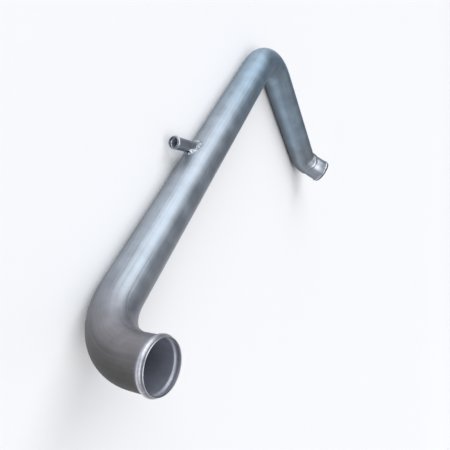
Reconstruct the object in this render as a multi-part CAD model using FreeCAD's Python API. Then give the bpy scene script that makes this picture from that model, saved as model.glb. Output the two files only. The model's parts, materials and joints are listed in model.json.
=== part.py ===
import FreeCAD, Part
import math
import os
from collections import namedtuple
from FreeCAD import Placement, Rotation, Vector

# Water transfer tube for an engine's cooling system: one length of thin aluminium tube, bent three times,
# with a rolled hose bead near each end, a necked far end, and a small beaded branch welded to its long run.
# It lies on its long run and its far leg. +Z is up, the long run goes along +Y, the far leg towards +X.
# Lengths are in millimetres and angles in degrees. Leg lengths go from corner to corner of the centreline.

Bead = namedtuple("Bead", "setback height width")
Bend = namedtuple("Bend", "start end centre radius axis angle")

# Main tube
tube_od = 63.5
tube_wall = 1.65

# Centreline, from the near mouth to the far mouth
near_leg_length = 116.0
main_run_length = 763.0
far_leg_length = 343.0
end_leg_length = 66.0
near_bend_angle = 88.0
near_leg_lean = 3.0
far_bend_angle = 84.0
end_bend_angle = 40.0
bend_radius = 85.0
end_bend_radius = 42.0

# Far end, necked down for a smaller hose: the seat runs from the mouth to the neck
far_end_od = 60.0
far_seat_length = 36.0
neck_length = 12.0

# Hose beads: setback goes from the mouth to the crest, height is above the tube's outside
near_bead = Bead(setback=6.5, height=2.3, width=6.6)
far_bead = Bead(setback=6.0, height=1.9, width=6.2)
branch_bead = Bead(setback=4.4, height=1.3, width=3.8)

# Branch tube, coped to sit on the outside of the long run, leaning back towards the near bend and dipping
# below level. Its station goes along the run from the near corner, its length is what stands out of the run
branch_od = 20.0
branch_wall = 1.5
branch_station = 388.0
branch_length = 48.5
branch_angle = 46.7
branch_dip = 7.0

# Fillet weld round the branch's foot. Its root depth is how far it is sunk into both tubes before it is cut
weld_leg = 5.5
weld_root_depth = 1.0
weld_samples = 36

tube_radius = tube_od / 2
far_end_radius = far_end_od / 2
branch_radius = branch_od / 2
branch_reach = branch_length + tube_radius / math.sin(math.radians(branch_angle))

origin = Vector(0, 0, 0)
across = Vector(1, 0, 0)
along = Vector(0, 1, 0)
up = Vector(0, 0, 1)


def between(first, second, angle):
    """The direction at an angle from the first of two square directions, towards the second."""
    return first * math.cos(math.radians(angle)) + second * math.sin(math.radians(angle))


def bend_at(before, corner, after, radius):
    """The arc that rounds a corner of the centreline."""
    arriving = (corner - before).normalize()
    leaving = (after - corner).normalize()
    angle = arriving.getAngle(leaving)
    setback = radius * math.tan(angle / 2)
    axis = arriving.cross(leaving).normalize()
    start = corner - arriving * setback
    centre = start + axis.cross(arriving) * radius
    return Bend(start, corner + leaving * setback, centre, radius, axis, math.degrees(angle))


def disc(centre, normal, radius):
    """A round face."""
    return Part.Face(Part.Wire(Part.makeCircle(radius, centre, normal)))


def straight_bar(start, end, radius):
    """A round bar between two points."""
    return disc(start, end - start, radius).extrude(end - start)


def bent_bar(bend, radius):
    """A round bar that follows a bend."""
    heading = (bend.start - bend.centre).cross(bend.axis) * -1
    return disc(bend.start, heading, radius).revolve(bend.centre, bend.axis, bend.angle)


def rolled_bead(radius, bead):
    """A bead's outline, X out from the axis and Z in from the mouth, rolled out from inside the tube."""
    start = Vector(radius, 0, bead.setback - bead.width / 2)
    end = Vector(radius, 0, bead.setback + bead.width / 2)
    rise = across * (bead.height * 4 / 3)
    curve = Part.BezierCurve()
    curve.setPoles([start, start + rise + up * (bead.width / 4), end + rise - up * (bead.width / 4), end])
    return start, curve.toShape(), end


def round_bead(radius, bead):
    """A solid bead's outline, one arc over its crest, in the same directions as a rolled bead's."""
    start = Vector(radius, 0, bead.setback - bead.width / 2)
    crest = Vector(radius + bead.height, 0, bead.setback)
    end = Vector(radius, 0, bead.setback + bead.width / 2)
    return start, Part.Arc(start, crest, end).toShape(), end


def smooth_neck(radius, body_radius, neck_start, length):
    """A neck's outline, one curve that leaves and arrives in line with the tube."""
    start = Vector(radius, 0, neck_start)
    end = Vector(body_radius, 0, neck_start + length)
    curve = Part.BezierCurve()
    curve.setPoles([start, start + up * (length / 2), end - up * (length / 2), end])
    return start, curve.toShape(), end


def turned_end(mouth, inward, length, mouth_radius, features):
    """A straight end as a solid of revolution: its mouth, and its beads or neck, listed from the mouth in."""
    last = Vector(mouth_radius, 0, 0)
    outline = [Part.makeLine(origin, last)]
    for start, curve, end in features:
        outline += [Part.makeLine(last, start), curve]
        last = end
    heel = Vector(last.x, 0, length)
    outline += [Part.makeLine(last, heel), Part.makeLine(heel, up * length), Part.makeLine(up * length, origin)]
    turned = Part.Face(Part.Wire(outline)).revolve(origin, up, 360)
    turned.Placement = Placement(mouth, Rotation(up, inward))
    return turned


near_corner = up * tube_radius
near_direction = between(-along, between(up, -across, near_leg_lean), near_bend_angle)
near_mouth = near_corner + near_direction * near_leg_length
far_corner = near_corner + along * main_run_length
far_direction = between(along, across, far_bend_angle)
end_corner = far_corner + far_direction * far_leg_length
end_direction = between(far_direction, up, end_bend_angle)
far_mouth = end_corner + end_direction * end_leg_length

near_bend = bend_at(near_mouth, near_corner, far_corner, bend_radius)
far_bend = bend_at(near_corner, far_corner, end_corner, bend_radius)
end_bend = bend_at(far_corner, end_corner, far_mouth, end_bend_radius)

branch_root = near_corner + along * branch_station
branch_out = between(-across, -up, branch_dip)
branch_top = between(up, -across, branch_dip)
branch_direction = between(-along, branch_out, branch_angle)
branch_mouth = branch_root + branch_direction * branch_reach


def main_skin(inset):
    """The whole bent tube as one solid bar, its surface set in from the tube's outside."""
    radius = tube_radius - inset
    mouth_radius = far_end_radius - inset
    near_length = (near_bend.start - near_mouth).Length
    far_length = (far_mouth - end_bend.end).Length
    far_forms = [rolled_bead(mouth_radius, far_bead), smooth_neck(mouth_radius, radius, far_seat_length, neck_length)]
    pieces = [
        turned_end(near_mouth, -near_direction, near_length, radius, [rolled_bead(radius, near_bead)]),
        bent_bar(near_bend, radius),
        straight_bar(near_bend.end, far_bend.start, radius),
        bent_bar(far_bend, radius),
        straight_bar(far_bend.end, end_bend.start, radius),
        bent_bar(end_bend, radius),
        turned_end(far_mouth, -end_direction, far_length, mouth_radius, far_forms),
    ]
    return pieces[0].multiFuse(pieces[1:])


def foot_point(angle, radius, level):
    """Where a line beside the branch, at an angle and radius about it, meets a level round the long run."""
    side = between(branch_top, branch_direction.cross(branch_top), angle) * radius
    out = math.sqrt(level ** 2 - side.dot(branch_top) ** 2)
    reach = (out - side.dot(branch_out)) / branch_direction.dot(branch_out)
    return branch_root + side + branch_direction * reach


def closed_curve(points):
    """A smooth closed curve through points."""
    curve = Part.BSplineCurve()
    curve.interpolate(Points=points, Parameters=list(range(len(points) + 1)), PeriodicFlag=True)
    return curve.toShape()


def weld_ring():
    """A ring between the weld's two toes and its root, each of them sunk into the tube that carries it."""
    sunk_radius = branch_radius - weld_root_depth
    sunk_level = tube_radius - weld_root_depth
    reach = weld_leg + weld_root_depth
    main_toe, branch_toe, root = [], [], []
    for step in range(weld_samples):
        angle = 360 * step / weld_samples
        main_toe.append(foot_point(angle, branch_radius + reach, sunk_level))
        branch_toe.append(foot_point(angle, sunk_radius, tube_radius) + branch_direction * reach)
        root.append(foot_point(angle, sunk_radius, sunk_level))
    curves = [closed_curve(points) for points in (main_toe, branch_toe, root)]
    sides = [Part.makeRuledSurface(first, second) for first, second in zip(curves, curves[1:] + curves[:1])]
    return Part.Solid(Part.Shell(sides))


main_outside = main_skin(0)
branch_outside = turned_end(
    branch_mouth, -branch_direction, branch_reach, branch_radius, [round_bead(branch_radius, branch_bead)]
)
branch_bore = turned_end(branch_mouth, -branch_direction, branch_reach, branch_radius - branch_wall, [])

main_tube = main_outside.cut(main_skin(tube_wall)).cut(branch_bore)
branch_tube = branch_outside.cut(branch_bore).cut(main_outside)
branch_weld = weld_ring().cut(main_outside).cut(branch_outside)

nodes = {"main_tube": main_tube, "branch_tube": branch_tube, "branch_weld": branch_weld}

# The origin is under the middle of the whole part, on the surface that it lies on
box = Part.makeCompound(list(nodes.values())).optimalBoundingBox(False)
shift = Vector(-(box.XMin + box.XMax) / 2, -(box.YMin + box.YMax) / 2, -box.ZMin)

os.makedirs("parts", exist_ok=True)
for name, shape in nodes.items():
    shape.translate(shift)
    shape.exportStep(f"parts/{name}.step")
    print(name, shape.ShapeType, len(shape.Solids), "valid", shape.isValid(), "volume", round(shape.Volume, 1))
for name, point, direction in (
    ("near mouth", near_mouth, near_direction),
    ("far mouth", far_mouth, end_direction),
    ("branch mouth", branch_mouth, branch_direction),
    ("near corner", near_corner, along),
):
    print(name, [round(value, 3) for value in point + shift], [round(value, 6) for value in direction])
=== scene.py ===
import json
import logging
import math
from collections.abc import Callable
from dataclasses import dataclass
from enum import IntEnum
from functools import cached_property, partial

import bpy
import numpy as np
from bpy.types import Material, NodeSocket, NodeTree, Object
from mathutils import Matrix, Vector


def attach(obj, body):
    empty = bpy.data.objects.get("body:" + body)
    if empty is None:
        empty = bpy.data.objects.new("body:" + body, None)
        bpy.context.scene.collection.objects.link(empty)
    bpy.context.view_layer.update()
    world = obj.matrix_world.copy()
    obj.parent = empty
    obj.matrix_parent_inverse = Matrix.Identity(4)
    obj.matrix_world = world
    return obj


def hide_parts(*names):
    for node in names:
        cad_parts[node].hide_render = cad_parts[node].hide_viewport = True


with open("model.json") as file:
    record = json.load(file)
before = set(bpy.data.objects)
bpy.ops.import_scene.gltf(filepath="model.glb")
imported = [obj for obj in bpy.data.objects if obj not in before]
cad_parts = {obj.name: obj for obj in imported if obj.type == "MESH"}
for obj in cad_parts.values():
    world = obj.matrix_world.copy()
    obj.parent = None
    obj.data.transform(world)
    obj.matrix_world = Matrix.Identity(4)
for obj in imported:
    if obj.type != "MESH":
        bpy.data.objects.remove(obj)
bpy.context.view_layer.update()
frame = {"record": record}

# Water transfer tube of an engine's cooling system: a bent tube of thin drawn aluminium with a rolled hose bead
# near each mouth, a necked far end, and a small beaded branch that is welded to its long run.
# Sizes are in millimetres and angles in degrees, in the row frame, until a mesh, a lamp or a node takes them.
MM = 0.001
ACROSS, ALONG, UP = np.eye(3)
log = logging.getLogger("water_transfer_tube")

# Where a thing starts and where it ends, or its least and its most
Span = tuple[float, float]

# Settings of nodes that the finishes share
TIMES = {"operation": "MULTIPLY"}
TIMES_PLUS = {"operation": "MULTIPLY_ADD"}
EASED = {"interpolation_type": "SMOOTHSTEP"}
COLOURS = {"data_type": "RGBA"}


class Section(IntEnum):
    """The legs and bends of the long tube, in order from the near mouth."""

    NEAR_LEG = 0
    NEAR_BEND = 1
    RUN = 2
    FAR_BEND = 3
    FAR_LEG = 4
    END_BEND = 5
    END_LEG = 6


@dataclass(frozen=True)
class Bead:
    """A hose bead: its crest's distance behind the mouth, its height above the tube, and its width."""

    setback: float
    height: float
    width: float


@dataclass(frozen=True)
class Wrinkle:
    """A low ridge that bending left across the tube.

    It lies at a share of its bend's length and at an angle round from the bend's inside. Its crest is so high and so
    far across, fades out at its reach round the tube, and bows along the tube as it fades. Its side towards the far
    mouth is so many times as long as the other.
    """

    bend: Section
    share: float
    round_from_inside: float
    height: float
    half_length: float
    reach: float
    bow: float
    trail: float = 1.0


def unit(vector: np.ndarray) -> np.ndarray:
    """Returns the vector at length one."""
    return vector / np.linalg.norm(vector)


def between(first: np.ndarray, second: np.ndarray, angle: float) -> np.ndarray:
    """Returns the direction at an angle from the first of two square directions, towards the second."""
    return first * math.cos(math.radians(angle)) + second * math.sin(math.radians(angle))


def smooth_step(values: np.ndarray, low: float, high: float) -> np.ndarray:
    """Returns 0 below low and 1 above high, with the cubic 3t^2 - 2t^3 between them."""
    share = np.clip((values - low) / (high - low), 0, 1)
    return share * share * (3 - 2 * share)


def full_turn(count: int) -> np.ndarray:
    """Returns so many evenly spaced angles round a full turn, as one row."""
    return np.linspace(0, math.tau, count, endpoint=False)[None, :]


def bell(values: np.ndarray) -> np.ndarray:
    """Returns e to the power of minus the square, a round hill one high."""
    return np.exp(-values * values)


def turned(vector: np.ndarray, axis: np.ndarray, turn: np.ndarray) -> np.ndarray:
    """Returns v cos(t) + (a x v) sin(t) + a (a . v) (1 - cos(t)): the vector v turned about the axis a by t."""
    along = (axis * vector).sum(-1, keepdims=True)
    return vector * np.cos(turn) + np.cross(axis, vector) * np.sin(turn) + axis * along * (1 - np.cos(turn))


def cubic(poles: np.ndarray, steps: int) -> np.ndarray:
    """A cubic curve: its four poles weighted by (1-t)^3, 3t(1-t)^2, 3t^2(1-t) and t^3.

    Args:
        poles: four points, one per row.
        steps: how many points to return, both ends included.

    Returns:
        The curve's points, one per row.
    """
    t = np.linspace(0, 1, steps)[:, None]
    u = 1 - t
    return u**3 * poles[0] + 3 * t * u**2 * poles[1] + 3 * t**2 * u * poles[2] + t**3 * poles[3]


def arc(centre: tuple[float, float], radius: float, first: float, last: float, steps: int) -> np.ndarray:
    """Returns points, one per row, from an arc's first angle to its last: centre + radius (cosine, sine)."""
    angles = np.radians(np.linspace(first, last, steps))
    return np.array(centre) + radius * np.stack([np.cos(angles), np.sin(angles)], -1)


def softened(outline: np.ndarray, spacing: float, reach: float) -> np.ndarray:
    """Rounds an outline's corners: evenly spaced points, each the weighted mean of those within reach of it.

    Args:
        outline: points, one per row.
        spacing: distance between the returned points.
        reach: how far on each side the mean goes; the weights are a raised cosine.

    Returns:
        The softened outline, with its two ends where they were.
    """
    lengths = np.concatenate([[0], np.cumsum(np.linalg.norm(np.diff(outline, axis=0), axis=1))])
    count = max(int(round(lengths[-1] / spacing)), 2)
    places = np.linspace(0, lengths[-1], count + 1)
    offsets = np.linspace(-1, 1, 9)
    weights = 1 + np.cos(math.pi * offsets * 0.9)
    room = np.minimum(np.minimum(places, lengths[-1] - places), reach)
    samples = places[:, None] + room[:, None] * offsets
    means = [np.interp(samples, lengths, column) @ weights / weights.sum() for column in outline.T]
    return np.stack(means, -1)


def placed(name: str, data: bpy.types.ID) -> Object:
    """Adds an object to the scene.

    Args:
        name: its name.
        data: its mesh, its lamp or its camera.

    Returns:
        The object.
    """
    thing = bpy.data.objects.new(name, data)
    bpy.context.scene.collection.objects.link(thing)
    return thing


def closed_grid(name: str, points: np.ndarray, attributes: dict[str, np.ndarray]) -> Object:
    """Makes a ring-shaped surface, closed in both directions, whose faces point outwards.

    Args:
        name: the piece's name.
        points: rows by columns by three, in millimetres. The last row joins the first, and so do the columns.
        attributes: what each vertex carries for its material: rows by columns, or rows by columns by three.

    Returns:
        The piece, with its place in its mesh.
    """
    rows, columns = points.shape[:2]
    index = np.arange(rows * columns).reshape(rows, columns)
    beside, ahead = np.roll(index, -1, 1), np.roll(index, -1, 0)
    faces = np.stack([index, beside, np.roll(ahead, -1, 1), ahead], -1).reshape(-1, 4)
    mesh = bpy.data.meshes.new(name)
    mesh.vertices.add(rows * columns)
    mesh.vertices.foreach_set("co", (points * MM).astype(np.float32).ravel())
    mesh.loops.add(faces.size)
    mesh.loops.foreach_set("vertex_index", faces.astype(np.int32).ravel())
    mesh.polygons.add(len(faces))
    mesh.polygons.foreach_set("loop_start", np.arange(0, faces.size, 4, dtype=np.int32))
    mesh.update(calc_edges=True)
    mesh.shade_smooth()
    for key, values in attributes.items():
        kind, slot = ("FLOAT_VECTOR", "vector") if values.ndim == 3 else ("FLOAT", "value")
        mesh.attributes.new(key, kind, "POINT").data.foreach_set(slot, values.astype(np.float32).ravel())
    return placed(name, mesh)


def cut(piece: Object, tool: Object) -> None:
    """Takes a tool's solid out of a piece for good, and removes the tool.

    Args:
        piece: the piece to cut.
        tool: a closed solid.
    """
    modifier = piece.modifiers.new("cut", "BOOLEAN")
    modifier.operation, modifier.solver, modifier.object = "DIFFERENCE", "EXACT", tool
    bpy.context.view_layer.update()
    result = bpy.data.meshes.new_from_object(piece.evaluated_get(bpy.context.evaluated_depsgraph_get()))
    piece.modifiers.clear()
    uncut, piece.data = piece.data, result
    bpy.data.meshes.remove(uncut)
    bpy.data.objects.remove(tool)


def linear(colour: str) -> tuple[float, float, float, float]:
    """Returns an sRGB hex colour, by sRGB's own curve, as the linear colour and alpha that a socket takes."""
    shares = [int(colour[i : i + 2], 16) / 255 for i in (0, 2, 4)]
    return *(s / 12.92 if s <= 0.04045 else ((s + 0.055) / 1.055) ** 2.4 for s in shares), 1.0


def add_node(
    tree: NodeTree, kind: str, settings: dict, sockets: dict, output: int | str = 0
) -> NodeSocket | None:
    """Adds a node with its settings and its inputs.

    Args:
        tree: the node tree.
        kind: the node's type, without the ShaderNode that it starts with.
        settings: its properties by name.
        sockets: its inputs by name or number, each a value or another node's output to link.
        output: the name or number of the output that is wanted.

    Returns:
        That output, or None where the node has none.
    """
    node = tree.nodes.new("ShaderNode" + kind)
    for key, value in settings.items():
        setattr(node, key, value)
    for key, value in sockets.items():
        if isinstance(value, NodeSocket):
            tree.links.new(value, node.inputs[key])
        else:
            node.inputs[key].default_value = value
    return node.outputs[output] if node.outputs else None


def empty_material(name: str) -> tuple[Material, Callable[..., NodeSocket]]:
    """Makes a material without nodes.

    Args:
        name: its name.

    Returns:
        The material, and add_node for its node tree.
    """
    material = bpy.data.materials.new(name)
    material.use_nodes = True
    material.node_tree.nodes.clear()
    return material, partial(add_node, material.node_tree)


def mount_end(name: str) -> np.ndarray:
    """Returns the mouth in front of a lip's mount: half the lip's length along the mount's axis, in millimetres."""
    mount = next(m for m in frame["record"]["mounts"] if m["name"] == name)
    return np.array(mount["pos_m"]) / MM + unit(np.array(mount["axis"])) * mount["dims"]["length_mm"] / 2


class Route:
    """A bent tube's centreline: straight legs from corner to corner, and a round bend at each corner.

    On a leg, a point is its start plus its heading times the way gone. In a bend, heading and side turn about the
    bend's axis by the way gone over the radius, so the side never twists about the tube.
    """

    def __init__(self, corners: list[np.ndarray], radii: list[float], side: np.ndarray) -> None:
        """Lays the legs and bends end to end.

        Args:
            corners: the points where the legs meet, and both ends.
            radii: each bend's radius.
            side: a direction square to the first leg.
        """
        sections = []
        place = corners[0]
        for before, corner, after, radius in zip(corners, corners[1:], corners[2:], radii):
            heading, leaving = unit(corner - before), unit(after - corner)
            turn = math.acos(heading @ leaving)
            setback = radius * math.tan(turn / 2)
            axis = unit(np.cross(heading, leaving))
            start = corner - heading * setback
            sections.append((place, heading, side, axis * 0, 0.0, np.linalg.norm(start - place)))
            sections.append((start, heading, side, axis, 1 / radius, turn * radius))
            side = turned(side, axis, turn)
            place = corner + leaving * setback
        sections.append((place, leaving, side, axis * 0, 0.0, np.linalg.norm(corners[-1] - place)))
        columns = [np.array(column) for column in zip(*sections)]
        self.starts, self.headings, self.sides, self.axes, self.rates, self.lengths = columns
        self.firsts = np.concatenate([[0], np.cumsum(self.lengths)[:-1]])
        self.length = float(self.lengths.sum())

    def at(self, stations: np.ndarray) -> tuple[np.ndarray, np.ndarray, np.ndarray, np.ndarray]:
        """Places stations on the centreline.

        Args:
            stations: distances along the centreline from its start.

        Returns:
            The points, headings, sides, and the directions square to both.
        """
        index = np.clip(np.searchsorted(self.firsts, stations, side="right") - 1, 0, len(self.firsts) - 1)
        gone = (stations - self.firsts[index])[..., None]
        rate = self.rates[index][..., None]
        heading, side, axis = self.headings[index], self.sides[index], self.axes[index]
        inward = np.cross(axis, heading)
        turn = gone * rate
        whole = np.where(rate > 0, rate, 1)
        ahead = np.where(rate > 0, np.sin(turn) / whole, gone)
        aside = np.where(rate > 0, (1 - np.cos(turn)) / whole, 0)
        point = self.starts[index] + heading * ahead + inward * aside
        side, heading = turned(side, axis, turn), turned(heading, axis, turn)
        return point, heading, side, np.cross(heading, side)

    def bend(self, section: Section) -> tuple[float, float, float]:
        """Finds a bend.

        Args:
            section: the bend.

        Returns:
            Its first station, its length, and the angle round the tube at which its inside lies.
        """
        heading, side = self.headings[section], self.sides[section]
        inward = np.cross(self.axes[section], heading)
        angle = math.atan2(inward @ np.cross(heading, side), inward @ side)
        return float(self.firsts[section]), float(self.lengths[section]), angle


@dataclass(frozen=True)
class DrawnAluminium:
    """Satin drawn aluminium tube, as it leaves the die, lightly etched and handled.

    The etch makes one broad soft highlight instead of a mirror. The die leaves fine lines along the tube, hands and
    oxide leave cloudy patches, the stretched outside of a bend goes matt and is darkened with painted shade, and a
    rolled bead is burnished; its burnished colour, also laid on the neck's upper side and the wrinkles' crests, is
    partly a painted highlight. A drift is where along the tube its next tone fades in; the warm near tone and the
    bluish far tones are partly painted reflections of a warm floor and of a blue sky. Lines and grooves are so many
    pitches long.
    """

    name: str
    near_colour: str = "939196"
    run_colour: str = "a5adb6"
    far_colour: str = "93a5b4"
    end_colour: str = "939ca5"
    # Painted shade: a dark warm colour standing in for shade and for the reflection of a dark floor
    painted_shade_colour: str = "565554"
    # Burnished colour, also used as a painted highlight
    burnish_and_highlight_colour: str = "bfc2ca"
    bore_colour: str = "9498a5"
    heat_colour: str = "7d898b"
    near_drift: Span = (52.5, 210.0)
    far_drift: Span = (430.0, 730.0)
    end_drift: Span = (1010.0, 1170.0)
    roughness: float = 0.49
    cloud_roughness: Span = (-0.04, 0.05)
    dull_roughness: float = 0.08
    burnished_roughness: float = -0.16
    heat_roughness: float = 0.12
    bore_film: float = 0.6
    bore_smoothness: float = 0.9
    line_pitch: float = 3.6
    line_length: float = 110.0
    line_depth: float = 0.09
    groove_pitch: float = 4.0
    groove_length: float = 60.0
    groove_depth: float = 0.12
    groove_darkness: float = 0.13
    scuff_width: float = 1.4
    scuff_length: float = 9.0
    scuff_brightness: float = 0.35
    scuffs_end: Span = (31.5, 63.0)
    cloud_size: float = 34.0
    cloud_shade: Span = (0.83, 1.13)
    line_shade: Span = (0.94, 1.06)
    grain_size: float = 2.6
    grain_depth: float = 0.05

    def streaks(
        self,
        add: Callable[..., NodeSocket],
        place: NodeSocket,
        width: float,
        length: float,
        detail: float,
        roughness: float,
    ) -> NodeSocket:
        """Draws noise out along the tube.

        Args:
            add: the function that adds a node to the material.
            place: the place on the tube before it was bent.
            width: how wide a streak is.
            length: how many times as long.
            detail: how many finer octaves the noise has.
            roughness: how strong they are.

        Returns:
            The noise, from 0 to 1.
        """
        fine = 1 / (width * MM)
        scale = (fine, fine, fine / length)
        drawn = add("VectorMath", TIMES, {0: place, 1: scale})
        return add("TexNoise", {}, {"Vector": drawn, "Scale": 1.0, "Detail": detail, "Roughness": roughness})

    def make(self) -> Material:
        """Makes the material, in the coordinates of the tube before it was bent.

        Returns:
            The material.
        """
        material, add = empty_material(self.name)
        place = add("Attribute", {"attribute_name": "before_bending"}, {}, "Vector")
        station = add("SeparateXYZ", {}, {0: place}, "Z")
        marks = {}
        for mark in ("dull", "burnish", "bore", "bent", "heat"):
            marks[mark] = add("Attribute", {"attribute_name": mark}, {}, "Fac")

        # The tube's tone drifts from end to end, warm and dull at the near bend and bluish on the far leg, partly as
        # painted reflection: the warm tone of a warm floor, the bluish tones of a blue sky
        tone = linear(self.near_colour)
        drifts = (
            (self.near_drift, self.run_colour),
            (self.far_drift, self.far_colour),
            (self.end_drift, self.end_colour),
        )
        for (first, last), colour in drifts:
            share = add("MapRange", EASED, {0: station, 1: first * MM, 2: last * MM})
            tone = add("Mix", COLOURS, {0: share, 6: tone, 7: linear(colour)}, 2)
        # Over that lie, each over the one before: painted shade, the torch's tint, the bore's film, and burnish with
        # painted highlight
        covers = (
            ("dull", self.painted_shade_colour),
            ("heat", self.heat_colour),
            ("bore", self.bore_colour),
            ("burnish", self.burnish_and_highlight_colour),
        )
        for mark, colour in covers:
            tone = add("Mix", COLOURS, {0: marks[mark], 6: tone, 7: linear(colour)}, 2)

        # Die lines: real ones are 0.1 to 0.3 mm apart, too fine for the picture, so they are drawn line_pitch apart
        lines = self.streaks(add, place, self.line_pitch, self.line_length, 3.0, 0.65)
        # A few stronger lines, where grit or a scar of the die scored the whole tube, drawn coarser as well
        scores = self.streaks(add, place, self.groove_pitch, self.groove_length, 1.0, 0.4)
        score = add("MapRange", EASED, {0: scores, 1: 0.5, 2: 0.64})
        # In a bend the die rubbed them harder, so there they are deeper and dark beside the tone around them
        rubbed = add("Math", TIMES_PLUS, {0: marks["bent"], 1: 0.4, 2: 0.45})
        depth = add("Math", TIMES, {0: score, 1: rubbed})
        # The mandrel smoothed the bore, so all lines are shallow there
        shallow = add("Math", TIMES_PLUS, {0: marks["bore"], 1: -self.bore_smoothness, 2: 1.0})
        depth = add("Math", TIMES, {0: depth, 1: shallow})
        # Scuffs where hoses were pushed on: short light scratches, 0.2 mm wide, drawn scuff_width wide so they show
        rubs = self.streaks(add, place, self.scuff_width, self.scuff_length / self.scuff_width, 1.0, 0.5)
        scuff = add("MapRange", EASED, {0: rubs, 1: 0.69, 2: 0.76})
        first, last = self.scuffs_end
        near_leg = add("MapRange", EASED, {0: station, 1: first * MM, 2: last * MM, 3: 1.0, 4: 0.0})
        scuff = add("Math", TIMES, {0: scuff, 1: near_leg})
        # Clouds of oxide and handling, about as wide as a thumb
        sockets = {"Vector": place, "Scale": 1 / (self.cloud_size * MM), "Detail": 4.0, "Roughness": 0.6}
        clouds = add("TexNoise", {}, sockets)
        # Grain that the stretch raised: real grains are 0.3 mm wide, drawn grain_size wide so that they show
        grain = add("TexNoise", {}, {"Vector": place, "Scale": 1 / (self.grain_size * MM), "Detail": 2.0})

        # Clouds and lines shade the tone, a score darkens it and a scuff brightens it
        low, high = self.cloud_shade
        shade = add("MapRange", {}, {0: clouds, 1: 0.3, 2: 0.7, 3: low, 4: high})
        low, high = self.line_shade
        streak = add("MapRange", {}, {0: lines, 1: 0.3, 2: 0.7, 3: low, 4: high})
        shade = add("Math", TIMES, {0: shade, 1: streak})
        for score, change in ((depth, -self.groove_darkness), (scuff, self.scuff_brightness)):
            shade = add("Math", TIMES_PLUS, {0: score, 1: change, 2: shade})
        tone = add("Mix", COLOURS | {"blend_type": "MULTIPLY"}, {0: 1.0, 6: tone, 7: shade}, 2)

        low, high = self.cloud_roughness
        rough = add("MapRange", {}, {0: clouds, 1: 0.3, 2: 0.7, 3: self.roughness + low, 4: self.roughness + high})
        changes = (
            ("dull", self.dull_roughness),
            ("burnish", self.burnished_roughness),
            ("heat", self.heat_roughness),
        )
        for mark, change in changes:
            rough = add("Math", TIMES_PLUS, {0: marks[mark], 1: change, 2: rough})
        # The bore keeps a dull grey film that scatters light, as wet aluminium does, so it is part metal, part chalk
        metal = add("Math", TIMES_PLUS, {0: marks["bore"], 1: -self.bore_film, 2: 1.0})

        relief = add("Bump", {}, {"Height": lines, "Strength": shallow, "Distance": self.line_depth * MM})
        sockets = {"Height": depth, "Strength": 1.0, "Distance": -self.groove_depth * MM, "Normal": relief}
        relief = add("Bump", {}, sockets)
        sockets = {"Height": grain, "Strength": marks["dull"], "Distance": self.grain_depth * MM, "Normal": relief}
        relief = add("Bump", {}, sockets)
        sockets = {"Base Color": tone, "Metallic": metal, "Roughness": rough, "Normal": relief}
        shader = add("BsdfPrincipled", {}, sockets)
        add("OutputMaterial", {}, {"Surface": shader})
        return material


@dataclass(frozen=True)
class WeldAluminium:
    """Filler aluminium as it froze under the torch: bright, smoother than the etched tube, with fine ripples."""

    name: str = "weld_aluminium_as_frozen"
    colour: str = "a9afb6"
    soot_colour: str = "70797d"
    roughness: float = 0.36
    ripple_pitch: float = 1.1
    ripple_depth: float = 0.03
    soot_size: float = 7.0

    def make(self) -> Material:
        """Makes the material, with ripples along the seam.

        Returns:
            The material.
        """
        material, add = empty_material(self.name)
        seam = add("Attribute", {"attribute_name": "along_seam"}, {}, "Fac")
        place = add("TexCoord", {}, {}, "Object")
        # Soot and oxide lie on it in patches, darker and rougher than the bare metal
        soot = add("TexNoise", {}, {"Vector": place, "Scale": 1 / (self.soot_size * MM), "Detail": 3.0})
        share = add("MapRange", {}, {0: soot, 1: 0.45, 2: 0.65, 3: 0.0, 4: 0.6})
        tone = add("Mix", COLOURS, {0: share, 6: linear(self.colour), 7: linear(self.soot_colour)}, 2)
        rough = add("MapRange", {}, {0: soot, 1: 0.3, 2: 0.7, 3: self.roughness - 0.05, 4: self.roughness + 0.12})
        # The puddle froze in steps, which lie as far apart as real ones
        turns = add("Math", TIMES, {0: seam, 1: math.tau / self.ripple_pitch})
        ripple = add("Math", {"operation": "SINE"}, {0: turns})
        relief = add("Bump", {}, {"Height": ripple, "Strength": 1.0, "Distance": self.ripple_depth * MM})
        sockets = {"Base Color": tone, "Metallic": 1.0, "Roughness": rough, "Normal": relief}
        shader = add("BsdfPrincipled", {}, sockets)
        add("OutputMaterial", {}, {"Surface": shader})
        return material


@dataclass(frozen=True)
class FloorPaint:
    """Matt white studio paint: flat, with no gloss, so the floor takes only the soft shadow."""

    name: str = "matt_white_floor_paint"
    colour: str = "f1f1f2"
    far_colour: str = "e2e2e4"
    near: float = 8.0
    far: float = 24.0

    def make(self) -> Material:
        """Makes the material: a little darker far off, where the floor rises to face the lamps, so it stays as pale.

        Returns:
            The material.
        """
        material, add = empty_material(self.name)
        place = add("TexCoord", {}, {}, "Object")
        away = add("VectorMath", {"operation": "LENGTH"}, {0: place}, "Value")
        share = add("MapRange", EASED, {0: away, 1: self.near, 2: self.far})
        paint = add("Mix", COLOURS, {0: share, 6: linear(self.colour), 7: linear(self.far_colour)}, 2)
        shader = add("BsdfPrincipled", {}, {"Base Color": paint, "Roughness": 1.0, "Specular IOR Level": 0.0})
        add("OutputMaterial", {}, {"Surface": shader})
        return material


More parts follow.
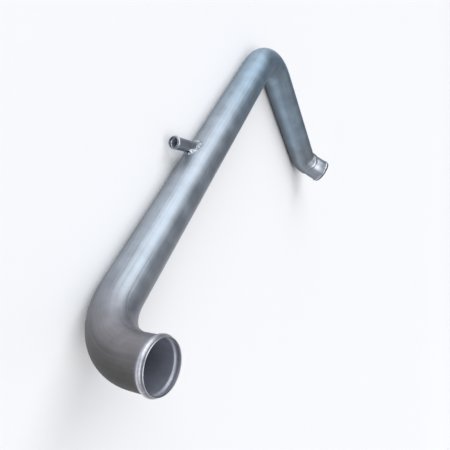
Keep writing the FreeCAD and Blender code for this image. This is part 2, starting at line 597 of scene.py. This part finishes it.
@dataclass(frozen=True)
class MainTube:
    """The long bent tube: its legs from corner to corner, its bends, beads and neck, and the marks of bending.

    A rise or fall is where along the tube a mark comes or goes, from the bend, leg, crest or seat it belongs to. A
    turn is between which shares of facing its own way the surface takes it on.
    """

    od: float = 63.5
    wall: float = 1.65
    near_leg: float = 116.0
    run: float = 763.0
    far_leg: float = 343.0
    end_leg: float = 66.0
    near_angle: float = 88.0
    near_lean: float = 3.0
    far_angle: float = 84.0
    end_angle: float = 40.0
    bend_radius: float = 85.0
    end_bend_radius: float = 42.0
    far_end_od: float = 60.0
    far_seat: float = 36.0
    neck: float = 12.0
    near_bead: Bead = Bead(6.5, 2.3, 6.6)
    far_bead: Bead = Bead(6.0, 1.9, 6.2)
    crest_sharpness: Span = (1.9, 3.0)
    rim_round: float = 0.8
    root_blend: float = 1.0
    outline_step: float = 0.45
    behind_bead: float = 4.0
    columns: int = 128
    outside_steps: Span = (2.4, 7.0)
    inside_steps: Span = (4.5, 14.0)
    branch_step: float = 1.6
    beside_branch: float = 34.0
    # Where the skin is matt and darkened with painted shade: the near patch, the lower side, the far seat's upper
    # side and the far lip
    dull_and_shade_until: Span = (60.0, 250.0)
    dull_and_shade_side: tuple[float, float, float] = (0.1, -0.9, -0.4)
    dull_and_shade_turn: Span = (-0.75, 0.95)
    below_dull_and_shade: float = 0.45
    below_turn: Span = (-0.1, 0.5)
    seat_dull_and_shade: float = 0.3
    seat_rise: Span = (-26.0, -12.0)
    seat_turn: Span = (0.4, 0.75)
    rim_dull_and_shade: Span = (0.6, 2.4)
    bent_rise: Span = (-12.0, 20.0)
    bent_fall: Span = (0.0, 90.0)
    # Painted highlight on the neck's upper side, given with a smoother finish
    neck_highlight: float = 0.65
    neck_highlight_rise: Span = (3.0, 13.0)
    neck_highlight_fall: Span = (8.0, 24.0)
    neck_highlight_turn: Span = (0.1, 0.6)
    # Wrinkles' crests take the burnished colour, partly as wear and partly as a painted highlight
    ridge_wear_and_highlight: float = 0.9
    heat_reach: float = 9.0
    mended_reach: float = 90.0
    valley_depth: float = 0.35
    valley_place: float = 2.1
    valley_width: float = 1.2
    wrinkles: tuple[Wrinkle, ...] = (
        Wrinkle(Section.END_BEND, 0.99, 30, 0.6, 2.2, 40, -9.0),
        Wrinkle(Section.END_BEND, 1.38, 33, 1.05, 2.0, 46, -13.0, 1.6),
        Wrinkle(Section.NEAR_BEND, 0.16, 0, 0.55, 3.2, 48, 0.0),
        Wrinkle(Section.NEAR_BEND, 0.27, 0, 0.5, 3.2, 44, 0.0),
        Wrinkle(Section.FAR_BEND, 1.02, 0, 0.18, 1.8, 170, 1.0),
    )

    def near_direction(self) -> np.ndarray:
        """Returns the way the near mouth points."""
        return between(-ALONG, between(UP, -ACROSS, self.near_lean), self.near_angle)

    def near_corner(self) -> np.ndarray:
        """Returns the corner between the near leg and the run, from where the record puts the near mouth."""
        return mount_end("near_lip") - self.near_direction() * self.near_leg

    @cached_property
    def route(self) -> Route:
        """Lays out the centreline.

        Returns:
            The centreline, from the near mouth to the far mouth.
        """
        corner = self.near_corner()
        far_direction = between(ALONG, ACROSS, self.far_angle)
        end_direction = between(far_direction, UP, self.end_angle)
        corners = [corner + self.near_direction() * self.near_leg, corner, corner + ALONG * self.run]
        corners.append(corners[-1] + far_direction * self.far_leg)
        corners.append(corners[-1] + end_direction * self.end_leg)
        side = unit(np.cross(self.near_direction(), np.cross(-ACROSS, self.near_direction())))
        return Route(corners, [self.bend_radius, self.bend_radius, self.end_bend_radius], side)

    def end_outline(self, mouth_radius: float, body_radius: float, bead: Bead, length: float) -> np.ndarray:
        """A straight end's outline: its lip, its bead, and a neck where the body is wider than the mouth.

        The bead and the neck are cubic curves. The bead's poles stand out by four thirds of its height, which makes
        its crest as high as it says. The neck's poles lie in line with the tube on both sides of it.

        Args:
            mouth_radius: radius at the mouth.
            body_radius: radius of the tube behind the neck.
            bead: the hose bead.
            length: length of the straight end.

        Returns:
            Points of distance from the mouth and radius, from the rim inwards.
        """
        first, last = bead.setback - bead.width / 2, bead.setback + bead.width / 2
        high = mouth_radius + bead.height * 4 / 3
        quarter = bead.width / 4
        poles = [(first, mouth_radius), (first + quarter, high), (last - quarter, high), (last, mouth_radius)]
        lip, back = (self.rim_round, mouth_radius), (last + self.behind_bead, mouth_radius)
        rough = np.vstack([lip, cubic(np.array(poles), 60), back])
        parts = [softened(rough, self.outline_step, self.root_blend)]
        if body_radius != mouth_radius:
            start, end, half = self.far_seat, self.far_seat + self.neck, self.neck / 2
            poles = [(start, mouth_radius), (start + half, mouth_radius), (end - half, body_radius)]
            poles.append((end, body_radius))
            plain = np.linspace(last + self.behind_bead, start, 9)[1:-1]
            parts += [np.stack([plain, plain * 0 + mouth_radius], -1), cubic(np.array(poles), 13)]
        tail = np.linspace(parts[-1][-1, 0], length, 6)[1:]
        parts.append(np.stack([tail, tail * 0 + body_radius], -1))
        return np.vstack(parts)

    def middle_stations(self, steps: Span, branch_station: float) -> np.ndarray:
        """Stations between the two straight ends: close in the bends and beside the branch, wide on the legs.

        Args:
            steps: their distance in a bend and on a leg.
            branch_station: where the branch stands.

        Returns:
            The stations, in order, without the two that end it.
        """
        bend_step, leg_step = steps
        near_bend, run, far_bend, far_leg, end_bend, end_leg = self.route.firsts[Section.NEAR_BEND :]
        low, high = branch_station - self.beside_branch, branch_station + self.beside_branch
        places = [near_bend, run, low, high, far_bend, far_leg, end_bend, end_leg]
        distances = [bend_step, leg_step, self.branch_step, leg_step, bend_step, leg_step, bend_step / 2]
        spans = zip(places, places[1:], distances)
        parts = [np.linspace(a, b, max(int(round((b - a) / step)), 1) + 1)[:-1] for a, b, step in spans]
        return np.concatenate(parts)[1:]

    def skin(self, inset: float, steps: Span, branch_station: float) -> np.ndarray:
        """One skin's outline from rim to rim.

        Args:
            inset: how far the skin lies inside the tube's outside.
            steps: distance of the rows in a bend and on a leg.
            branch_station: where the branch stands.

        Returns:
            Points of station and radius, from the near mouth to the far mouth.
        """
        body, mouth = self.od / 2 - inset, self.far_end_od / 2 - inset
        near = self.end_outline(body, body, self.near_bead, self.route.firsts[Section.NEAR_BEND])
        far = self.end_outline(mouth, body, self.far_bead, self.route.length - self.route.firsts[Section.END_LEG])
        middle = self.middle_stations(steps, branch_station)
        far[:, 0] = self.route.length - far[:, 0]
        return np.vstack([near, np.stack([middle, middle * 0 + body], -1), far[::-1]])

    def rim(self, station: float, outer: float, ahead: float) -> np.ndarray:
        """A deburred rim: a quarter round at each edge of the wall, from the outside to the bore.

        Args:
            station: the mouth's station.
            outer: the outside radius at the mouth.
            ahead: 1 where the tube lies ahead of the mouth, or -1.

        Returns:
            Points of station and radius.
        """
        r = self.rim_round
        outer_edge, inner_edge = arc((r, outer - r), r, 90, 180, 6), arc((r, outer - self.wall + r), r, 180, 270, 6)
        edges = np.vstack([outer_edge[1:], inner_edge[:-1]])
        return np.stack([station + ahead * edges[:, 0], edges[:, 1]], -1)

    def bumps(self, station: np.ndarray, angle: np.ndarray) -> np.ndarray:
        """The marks of bending: each wrinkle is a round ridge with a valley a third as deep on either side of it.

        A wrinkle's height fades with the square of its angle from its middle, and its crest bows with it.

        Args:
            station: station of each grid point.
            angle: angle of each grid point round the tube.

        Returns:
            How far each point stands out, in millimetres.
        """
        total = np.zeros(np.broadcast(station, angle).shape)
        for wrinkle in self.wrinkles:
            first, length, inside = self.route.bend(wrinkle.bend)
            centre = inside + math.radians(wrinkle.round_from_inside)
            away = np.degrees(np.abs((angle - centre + math.pi) % math.tau - math.pi)) / wrinkle.reach
            fade = np.clip(1 - away * away, 0, 1) ** 2
            past = station - first - wrinkle.share * length - wrinkle.bow * away * away
            gone = past / wrinkle.half_length / np.where(past > 0, wrinkle.trail, 1.0)
            valleys = sum(bell((gone + side * self.valley_place) / self.valley_width) for side in (-1, 1))
            total += wrinkle.height * fade * (bell(gone) - self.valley_depth * valleys)
        return total

    def neck_polish_and_highlight(self, station: np.ndarray, out: np.ndarray) -> np.ndarray:
        """How far the neck's upper side is made smoother and brighter, a painted highlight: it fades in behind the
        bend and out on the seat.

        Args:
            station: station of each grid point.
            out: the direction out of the surface at each grid point.

        Returns:
            Shares from 0 to 1.
        """
        behind = smooth_step(station - self.route.firsts[Section.END_LEG], *self.neck_highlight_rise)
        ahead = 1 - smooth_step(station - self.route.length + self.far_seat, *self.neck_highlight_fall)
        return self.neck_highlight * behind * ahead * smooth_step(out @ UP, *self.neck_highlight_turn)

    def dull(self, station: np.ndarray, out: np.ndarray) -> np.ndarray:
        """How matt the skin is and how much painted shade darkens it: most at the near end, and somewhat all along
        below.

        The near patch fades along the tube, and round it with the surface's turn from a given side; its dark colour
        is painted shade standing in for a dark floor's reflection. The darkening below, on the far seat's upper side
        and in a dark rim at the far lip is painted shade as well.

        Args:
            station: station of each grid point.
            out: the direction out of the surface at each grid point.

        Returns:
            Shares from 0 to 1.
        """
        facing = out @ unit(np.array(self.dull_and_shade_side))
        near = (1 - smooth_step(station, *self.dull_and_shade_until)) * smooth_step(facing, *self.dull_and_shade_turn)
        past_crest = station - self.route.length + self.far_bead.setback
        rim = smooth_step(past_crest, *self.rim_dull_and_shade) * np.ones_like(near)
        seat = smooth_step(past_crest, *self.seat_rise) * smooth_step(out @ UP, *self.seat_turn)
        below = smooth_step(out @ -UP, *self.below_turn)
        return np.maximum.reduce([near, self.below_dull_and_shade * below, self.seat_dull_and_shade * seat, rim])

    def bent(self, station: np.ndarray) -> np.ndarray:
        """How far each place was bent: with a long smooth fade on both sides of a bend, where the die let go.

        Args:
            station: station of each row.

        Returns:
            1 in each bend and 0 far from it.
        """
        total = np.zeros_like(station)
        for bend in (Section.NEAR_BEND, Section.FAR_BEND, Section.END_BEND):
            first, length, _ = self.route.bend(bend)
            rise = smooth_step(station - first, *self.bent_rise)
            total += rise * (1 - smooth_step(station - first - length, *self.bent_fall))
        return np.clip(total, 0, 1)

    def build(self, branch: "Branch") -> Object:
        """Makes the tube: its outline goes once round the wall, and is carried along the route at every angle.

        Args:
            branch: the branch whose bore opens through the wall.

        Returns:
            The piece.
        """
        route = self.route
        setback = self.bend_radius * math.tan(math.radians(self.near_angle / 2))
        branch_station = float(route.firsts[Section.RUN]) + branch.station - setback
        outside = self.skin(0, self.outside_steps, branch_station)
        inside = self.skin(self.wall, self.inside_steps, branch_station)[::-1]
        far_rim = self.rim(route.length, self.far_end_od / 2, -1)
        near_rim = self.rim(0, self.od / 2, 1)[::-1]
        loop = np.vstack([outside, far_rim, inside, near_rim])
        station, radius = loop[:, :1], loop[:, 1:]
        angle = full_turn(self.columns)
        centre, _, side, third = (part[:, None, :] for part in route.at(station[:, 0]))
        out = side * np.cos(angle)[..., None] + third * np.sin(angle)[..., None]
        bumps = self.bumps(station, angle)
        points = centre + out * (radius + bumps)[..., None]
        bore_first = len(outside) + len(far_rim)
        in_bore = np.zeros_like(station)
        in_bore[bore_first : bore_first + len(inside)] = 1
        even = np.ones_like(angle)
        nominal = self.od / 2
        straight = np.stack(np.broadcast_arrays(nominal * np.cos(angle), nominal * np.sin(angle), station), -1)
        beads = zip((self.near_bead, self.far_bead), (0.0, route.length), self.crest_sharpness)
        crests = sum(bell((station - abs(end - bead.setback)) / bead.width * sharp) for bead, end, sharp in beads)
        # Painted highlight: the neck's upper side takes the brighter burnished colour, and so do the wrinkles'
        # crests, partly as wear
        rubbed = self.neck_polish_and_highlight(station, out) + self.ridge_wear_and_highlight * np.clip(bumps, 0, 1)
        # A file left the outer edge of each rim bright and smooth; its brighter colour is partly a painted highlight
        filed = np.zeros_like(station)
        filed[-6:] = filed[len(outside) : len(outside) + 6] = 1
        burnish = np.clip(crests + rubbed + filed, 0, 1) * (1 - 0.5 * in_bore) * even
        attributes = {
            "before_bending": straight * MM,
            "dull": self.dull(station, out) * (1 - in_bore) * (1 - burnish),
            "burnish": burnish,
            "bore": in_bore * even,
            "bent": self.bent(station) * (1 - burnish),
        }
        piece = closed_grid("transfer_tube", points, attributes)
        cut(piece, branch.bore_tool())
        self.mend_attributes(piece, branch)
        return piece

    def mend_attributes(self, piece: Object, branch: "Branch") -> None:
        """Gives the vertices that the cut made their attributes: on the straight run they follow from their place.

        Args:
            piece: the tube.
            branch: the branch that it was cut for.
        """
        mesh = piece.data
        place = np.empty(len(mesh.vertices) * 3, np.float32)
        straight = place.copy()
        mesh.vertices.foreach_get("co", place)
        mesh.attributes["before_bending"].data.foreach_get("vector", straight)
        place = place.reshape(-1, 3) / MM

        run = Section.RUN
        heading, side, beside = self.route.headings[run], self.route.sides[run], place - self.route.starts[run]
        third = np.cross(heading, side)
        fresh = np.stack([beside @ side, beside @ third, beside @ heading + self.route.firsts[run]], -1) * MM
        aside = place - branch.root()
        near = np.abs(aside).sum(1) < self.mended_reach
        straight = np.where(near[:, None], fresh, straight.reshape(-1, 3))
        mesh.attributes["before_bending"].data.foreach_set("vector", straight.astype(np.float32).ravel())

        # The torch's heat tinted the run round the branch's foot
        along = aside @ branch.direction()
        away = np.linalg.norm(aside - np.outer(along, branch.direction()), axis=1) - branch.od / 2
        heat = bell(np.maximum(away, 0) / self.heat_reach) * (along > 0)
        mesh.attributes.new("heat", "FLOAT", "POINT").data.foreach_set("value", heat.astype(np.float32))

    def dress(self, piece: Object) -> None:
        """Gives the tube its finish.

        Args:
            piece: the tube.
        """
        piece.data.materials.clear()
        piece.data.materials.append(DrawnAluminium("drawn_aluminium_satin").make())
        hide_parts("main_tube")


@dataclass(frozen=True)
class Branch:
    """The small hose branch: coped to sit on the run, leaning back towards the near bend and dipping below level."""

    tube: MainTube
    od: float = 20.0
    wall: float = 1.5
    station: float = 388.0
    length: float = 48.5
    angle: float = 46.7
    dip: float = 7.0
    bead: Bead = Bead(4.4, 1.3, 3.8)
    crest_sharpness: float = 1.6
    rim_round: float = 0.4
    mouth_round: float = 0.6
    root_blend: float = 0.5
    outline_step: float = 0.3
    foot_sunk: float = 0.1
    columns: int = 96

    def out(self) -> np.ndarray:
        """Returns the way out of the run on the branch's side, square to the run."""
        return between(-ACROSS, -UP, self.dip)

    def top(self) -> np.ndarray:
        """Returns the way that is square to the run and to the branch."""
        return between(UP, -ACROSS, self.dip)

    def direction(self) -> np.ndarray:
        """Returns the way the branch's mouth points."""
        return between(-ALONG, self.out(), self.angle)

    def root(self) -> np.ndarray:
        """Returns where the branch's axis meets the run's."""
        return self.tube.near_corner() + ALONG * self.station

    def reach(self) -> float:
        """Returns the distance from the root to the mouth."""
        return self.length + self.tube.od / 2 / math.sin(math.radians(self.angle))

    def place(self, turn: np.ndarray, radius: np.ndarray, along: np.ndarray) -> np.ndarray:
        """Points round the branch's axis: the root, plus the radius round it, plus the way along it.

        Args:
            turn: angles round the axis.
            radius: distances from the axis.
            along: distances from the root along the axis.

        Returns:
            The points.
        """
        third = np.cross(self.direction(), self.top())
        aside = self.top() * np.cos(turn)[..., None] + third * np.sin(turn)[..., None]
        return self.root() + aside * radius[..., None] + self.direction() * along[..., None]

    def foot(self, turn: np.ndarray, radius: np.ndarray, level: float) -> np.ndarray:
        """How far along the branch a line beside its axis meets a level round the run.

        The line meets it where its distance out of the run's axis is the root of the level squared less the
        square of its height over that axis.

        Args:
            turn: the line's angle round the branch.
            radius: its distance from the branch's axis.
            level: the level's radius round the run's axis.

        Returns:
            The distance from the root.
        """
        high = radius * np.cos(turn)
        aside = radius * np.sin(turn) * (np.cross(self.direction(), self.top()) @ self.out())
        return (np.sqrt(level**2 - high**2) - aside) / (self.direction() @ self.out())

    def roll(self, level: float, steps: int) -> np.ndarray:
        """The bead's arc over a level: its radius is (h^2 + w^2) / 2h for its height h and half its width w.

        Args:
            level: the radius that the arc starts and ends at.
            steps: how many points to return.

        Returns:
            Points of distance along the branch and radius, towards the mouth.
        """
        high, half = self.bead.height, self.bead.width / 2
        radius = (high**2 + half**2) / (2 * high)
        turn = math.degrees(math.asin(half / radius))
        return arc((self.reach() - self.bead.setback, level + high - radius), radius, 90 + turn, 90 - turn, steps)

    def bore_tool(self) -> Object:
        """Makes the bar that opens the bore through the run's wall: two rings of points, with a cap on each.

        Returns:
            A bar as wide as the bore, from the run's axis to well outside it.
        """
        count = 64
        turn = full_turn(count)[0]
        wide = turn * 0 + self.od / 2 - self.wall
        rings = [self.place(turn, wide, turn * 0 + along) for along in (0.0, self.reach())]
        index = np.arange(count)
        beside = np.roll(index, -1)
        walls = np.stack([index, beside, beside + count, index + count], -1).tolist()
        caps = [index[::-1].tolist(), (index + count).tolist()]
        mesh = bpy.data.meshes.new("bore_tool")
        mesh.from_pydata((np.vstack(rings) * MM).tolist(), [], walls + caps)
        return placed("bore_tool", mesh)

    def build(self) -> Object:
        """Makes the branch: coped at its foot, with a deburred rim and a bead that was rolled out from the bore.

        Returns:
            The piece.
        """
        outer, inner, mouth = self.od / 2, self.od / 2 - self.wall, self.reach()
        bead, r, m = self.bead, self.rim_round, self.mouth_round
        crest, groove = self.roll(outer, 16), self.roll(inner, 16)[::-1]
        back, lip = [mouth - bead.setback - bead.width, outer], [mouth - r, outer]
        formed = softened(np.vstack([back, crest, lip]), self.outline_step, self.root_blend)
        edges = [arc((mouth - r, outer - r), r, 90, 0, 5)[1:], arc((mouth - m, inner + m), m, 0, -90, 9)]
        fixed = np.vstack([formed, *edges, groove])
        turn = full_turn(self.columns)
        whole = np.ones_like(turn)
        level = self.tube.od / 2 - self.foot_sunk
        outer_foot, inner_foot = self.foot(turn, outer * whole, level), self.foot(turn, inner * whole, level)
        rise = outer_foot + (fixed[0, 0] - outer_foot) * np.linspace(0, 1, 17)[:-1, None]
        fall = fixed[-1, 0] + (inner_foot - fixed[-1, 0]) * np.linspace(0, 1, 25)[1:, None]
        along = np.vstack([rise, fixed[:, :1] * whole, fall])
        radius = np.vstack([outer + 0 * rise, fixed[:, 1:] * whole, inner + 0 * fall])
        turns = turn + 0 * along
        points = self.place(turns, radius, along)
        in_bore = np.vstack([0 * rise, 0 * fixed[:, :1] * whole, 1 + 0 * fall])
        straight = np.stack([outer * np.cos(turns), outer * np.sin(turns), along], -1) * MM
        burnish = bell((along - mouth + bead.setback) / bead.width * self.crest_sharpness) * (1 - in_bore)
        return closed_grid("hose_branch", points, {"before_bending": straight, "burnish": burnish, "bore": in_bore})

    def dress(self, piece: Object) -> None:
        """Gives the branch its finish: the same drawn aluminium, in one tone, with finer lines and smaller clouds.

        Args:
            piece: the branch.
        """
        tone = "969ba3"
        finish = DrawnAluminium(
            "drawn_aluminium_branch",
            near_colour=tone,
            run_colour=tone,
            far_colour=tone,
            bore_colour="b4bcc8",
            line_pitch=1.2,
            cloud_size=14.0,
        )
        piece.data.materials.append(finish.make())
        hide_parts("branch_tube")


@dataclass(frozen=True)
class Weld:
    """The fillet weld round the branch's foot: overlapping puddles, each bowed the way the torch went."""

    branch: Branch
    leg: float = 5.5
    rise: float = 3.8
    crown: float = -0.1
    puddle_height: float = 1.7
    puddles: int = 12
    first: float = 0.08
    tie_start: float = 0.805
    tie_length: float = 0.088
    tie_fall: float = 0.45
    tie_rise: float = 6.5
    tie_leg: float = 0.5
    bow: float = 0.35
    ripple_bow: float = 2.0
    sunk: float = 0.5
    columns: int = 480

    def build(self) -> Object:
        """Makes the weld: its cross-section goes from the toe on the run over the face to the toe on the branch.

        A face point lies the leg times (1 - v) outside the branch and the rise times v above the run, and stands
        out by the crown plus a puddle, which is a round hill between one ripple and the next. Where the bead's end
        ties in to its start, one larger and flatter lump takes the puddles' place and carries both toes further
        out: along the seam it is a smooth step up, an even fall, and a smooth step down.

        Returns:
            The piece.
        """
        branch = self.branch
        outer, level = branch.od / 2, branch.tube.od / 2
        turn = full_turn(self.columns)
        seam = branch.place(turn[0], turn[0] * 0 + outer, branch.foot(turn[0], turn[0] * 0 + outer, level))
        steps = np.linalg.norm(np.roll(seam, -1, 0) - seam, axis=1)
        gone = (np.cumsum(steps) - steps)[None, :]
        lap = math.tau * gone / steps.sum()
        v = np.linspace(-0.1, 1.1, 25)[:, None]
        hill = 4 * v * (1 - v)
        # No welder's hand is even: the puddles' pitch, height and width wander a little round the seam
        count = self.first + self.puddles * lap / math.tau + 0.12 * np.sin(3 * lap + 0.7) + self.bow * hill
        share = count - np.floor(count)
        uneven = 1 + 0.25 * np.cos(2.4 * (np.floor(count) % self.puddles) - 1.0)
        puddle = (1 - (2 * share - 1) ** 2) ** 1.5 * uneven
        uneven_width = 1 + 0.07 * np.sin(4 * lap + 1.0) + 0.05 * np.sin(7 * lap)
        past = (lap / math.tau - self.tie_start) / self.tie_length
        tie = smooth_step(past, -0.2, 0.15) * (1 - self.tie_fall * past) * (1 - smooth_step(past, 0.92, 1.08))
        stand = (self.crown + self.puddle_height * puddle * (1 - tie)) * hill / math.sqrt(2)
        radius = outer + (self.leg * uneven_width + self.tie_leg * tie) * (1 - v) + stand
        lift = (self.rise * uneven_width + self.tie_rise * tie) * v + stand
        # The root runs inside both tubes, so that no gap shows under the toes
        deep = self.sunk * 1.2
        root_radius = np.array([outer - deep, outer - self.sunk, outer + self.leg * 0.5])[:, None] + 0 * turn
        root_lift = np.array([self.rise * 0.5, -self.sunk, -deep])[:, None] + 0 * turn
        radius, lift = np.vstack([radius, root_radius]), np.vstack([lift, root_lift])
        turns = turn + 0 * radius
        points = branch.place(turns, radius, branch.foot(turns, radius, level) + lift)
        bowed = self.ripple_bow * np.vstack([hill, np.zeros((len(root_lift), 1))])
        return closed_grid("branch_weld_bead", points, {"along_seam": gone + 0 * radius + bowed})

    def dress(self, piece: Object) -> None:
        """Gives the weld its finish.

        Args:
            piece: the weld.
        """
        piece.data.materials.append(WeldAluminium().make())
        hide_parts("branch_weld")


@dataclass(frozen=True)
class Lamp:
    """A very large soft lamp, far away: where it stands, how wide it looks, and how much light it gives."""

    name: str
    heading: float
    height: float
    width: float
    strength: float
    colour: str

    def build(self) -> None:
        """Makes the lamp, turned to shine back along its heading and down from its height."""
        lamp = bpy.data.lights.new(self.name, "SUN")
        lamp.angle, lamp.energy, lamp.color = math.radians(self.width), self.strength, linear(self.colour)[:3]
        holder = placed(self.name, lamp)
        towards = between(between(ACROSS, ALONG, self.heading), UP, self.height)
        holder.rotation_mode = "QUATERNION"
        holder.rotation_quaternion = Vector(towards).to_track_quat("Z", "Y")


@dataclass(frozen=True)
class Studio:
    """A plain pale floor that rises far off, most at the back, three very large soft lamps, and a dim bluish room."""

    floor_reach: float = 40.0
    floor_flat: float = 8.0
    floor_rise: float = 3.0
    back_rise: float = 7.0
    back_heading: float = -45.0
    floor_cells: int = 64
    lamps: tuple[Lamp, ...] = (
        Lamp("left_soft_lamp", 151.0, 30.0, 68.0, 2.5, "fbfdff"),
        Lamp("overhead_soft_lamp", -116.0, 56.0, 50.0, 1.5, "ffffff"),
        Lamp("warm_far_fill", -20.0, 34.0, 110.0, 0.55, "ffe9d8"),
    )
    room_colour: str = "9da6b2"
    room_strength: float = 0.54

    def build(self) -> None:
        """Makes the floor, the lamps and the room.

        The floor's height is a smooth step of the distance from its middle, and grows at the back with the square of
        the cosine of the angle from the back heading.
        """
        steps = np.linspace(-1, 1, self.floor_cells + 1)
        line = np.sign(steps) * steps**2 * self.floor_reach
        east, north = np.meshgrid(line, line, indexing="ij")
        behind = np.clip(np.cos(np.arctan2(north, east) - math.radians(self.back_heading)), 0, 1) ** 2
        height = self.floor_rise + self.back_rise * behind
        rise = height * smooth_step(np.hypot(east, north), self.floor_flat, self.floor_reach)
        index = np.arange(rise.size).reshape(rise.shape)
        faces = np.stack([index[:-1, :-1], index[1:, :-1], index[1:, 1:], index[:-1, 1:]], -1).reshape(-1, 4)
        mesh = bpy.data.meshes.new("floor")
        mesh.from_pydata(np.stack([east, north, rise], -1).reshape(-1, 3).tolist(), [], faces.tolist())
        mesh.shade_smooth()
        mesh.materials.append(FloorPaint().make())
        placed("floor", mesh)

        for lamp in self.lamps:
            lamp.build()

        world = bpy.data.worlds.new("dim_room")
        world.use_nodes = True
        world.node_tree.nodes.clear()
        glow = {"Color": linear(self.room_colour), "Strength": self.room_strength}
        light = add_node(world.node_tree, "Background", {}, glow)
        add_node(world.node_tree, "OutputWorld", {}, {"Surface": light})
        bpy.context.scene.world = world


@dataclass(frozen=True)
class PhotoCamera:
    """The photograph's camera, held upright over the near end: the tube's up points to the picture's right."""

    place: tuple[float, float, float] = (-544.89, -548.62, 416.49)
    heading: float = 43.772
    pitch: float = -28.33
    roll: float = -91.07
    lens: float = 34.249

    def build(self) -> None:
        """Makes the camera and gives it to the scene."""
        level = between(ACROSS, ALONG, self.heading)
        forward = between(level, UP, self.pitch)
        right = unit(np.cross(forward, UP))
        up = between(np.cross(right, forward), right, self.roll)
        right = np.cross(forward, up)
        data = bpy.data.cameras.new("photo_camera")
        data.lens, data.sensor_width = self.lens, 36.0
        data.clip_start, data.clip_end = 0.02, 200.0
        camera = placed("photo_camera", data)
        facing = Matrix(np.stack([right, up, -forward], -1).tolist()).to_4x4()
        camera.matrix_world = Matrix.Translation(Vector(self.place) * MM) @ facing
        bpy.context.scene.camera = camera


def main() -> None:
    """Builds the tube, its branch and the weld in order, lights them, and reports each piece."""
    logging.basicConfig(level=logging.INFO, format="%(message)s")
    PhotoCamera().build()
    Studio().build()
    tube = MainTube()
    branch = Branch(tube)
    weld = Weld(branch)
    for maker, piece in ((tube, tube.build(branch)), (branch, branch.build()), (weld, weld.build())):
        maker.dress(piece)
        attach(piece, "root")
        corners = np.empty(len(piece.data.polygons), np.int32)
        piece.data.polygons.foreach_get("loop_total", corners)
        log.info("%s: %d vertices, %d triangles", piece.name, len(piece.data.vertices), int((corners - 2).sum()))
    bpy.context.scene.view_settings.view_transform = "Standard"


if __name__ == "__main__":
    main()
